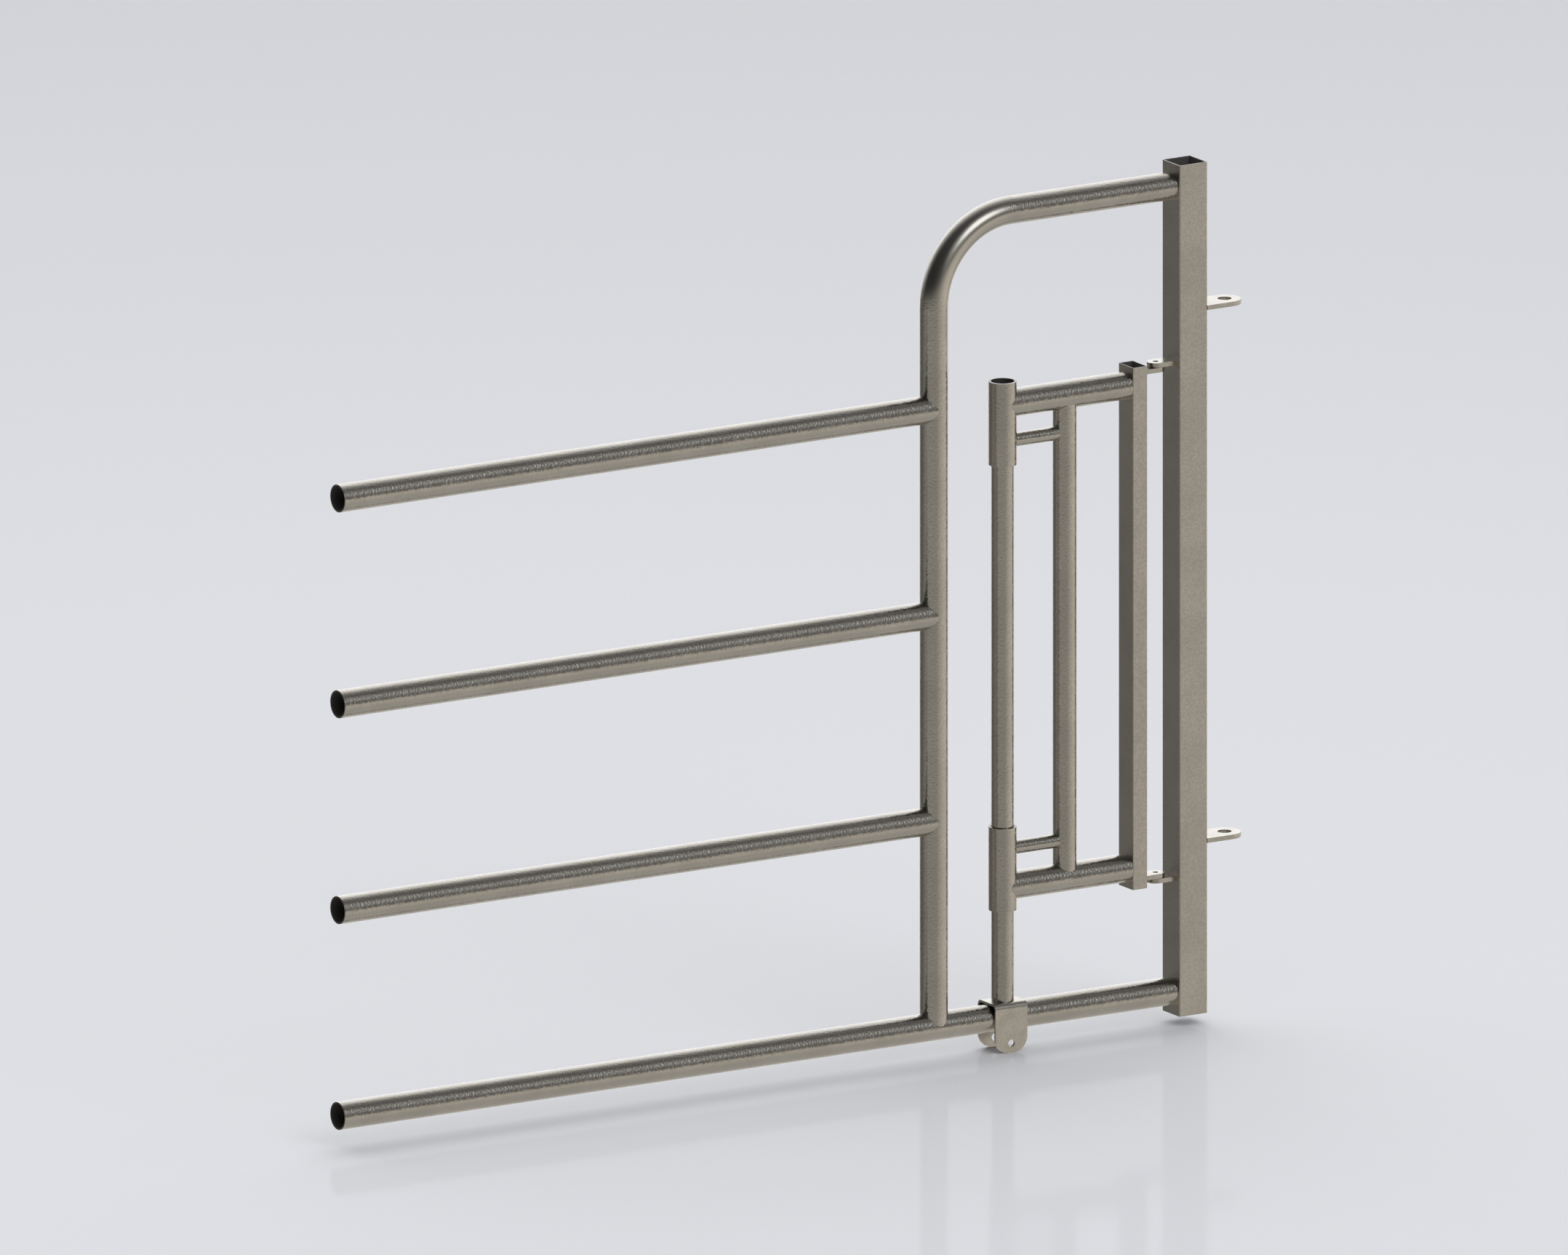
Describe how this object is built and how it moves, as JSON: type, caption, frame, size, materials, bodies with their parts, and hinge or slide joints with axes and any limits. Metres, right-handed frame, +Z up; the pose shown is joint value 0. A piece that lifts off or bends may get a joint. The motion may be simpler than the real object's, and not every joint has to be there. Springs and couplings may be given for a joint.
{
  "type": "livestock pedestrian gate",
  "caption": "Tubular livestock barrier section with a bent upright and square post around a narrow doorway, closed by a hinged pass gate with a drop bolt that straddles the bottom rail.",
  "frame": {"origin": "on the axis of the lower mounting lug's bore, at the lug's underside", "axes": "+X along the rails from their open ends towards the post, +Y through the doorway away from the viewer, +Z up"},
  "size_m": [2.2577, 0.0712, 1.8826],
  "materials": {
    "tube": "satin galvanised round tube",
    "section": "satin galvanised box section",
    "plate": "satin galvanised flat plate",
    "pin": "dull turned steel"
  },
  "bodies": {
    "frame": {"main_post": "section", "bent_upright": "tube", "bottom_rail": "tube", "lower_rail": "tube", "middle_rail": "tube", "top_rail": "tube", "upper_mounting_lug": "plate", "lower_mounting_lug": "plate", "upper_post_hinge_lug": "plate", "lower_post_hinge_lug": "plate", "upper_hinge_pin": "pin", "lower_hinge_pin": "pin"},
    "pass_gate": {"hinge_stile": "section", "gate_top_rail": "tube", "gate_bottom_rail": "tube", "gate_mid_bar": "tube", "upper_bolt_sleeve": "tube", "lower_bolt_sleeve": "tube", "upper_sleeve_brace": "tube", "lower_sleeve_brace": "tube", "upper_gate_hinge_lug": "plate", "lower_gate_hinge_lug": "plate"},
    "drop_bolt": {"drop_bolt_tube": "tube", "drop_bolt_saddle": "plate"}
  },
  "joints": [
    {"name": "gate_swing", "type": "hinge", "parent": "frame", "child": "pass_gate", "pos_m": [-0.173, 0, 0], "axis": [0, 0, 1], "range_deg": [-90, 90]},
    {"name": "bolt_lift", "type": "slide", "parent": "pass_gate", "child": "drop_bolt", "axis": [0, 0, 1], "range_m": [0, 0.19]}
  ]
}
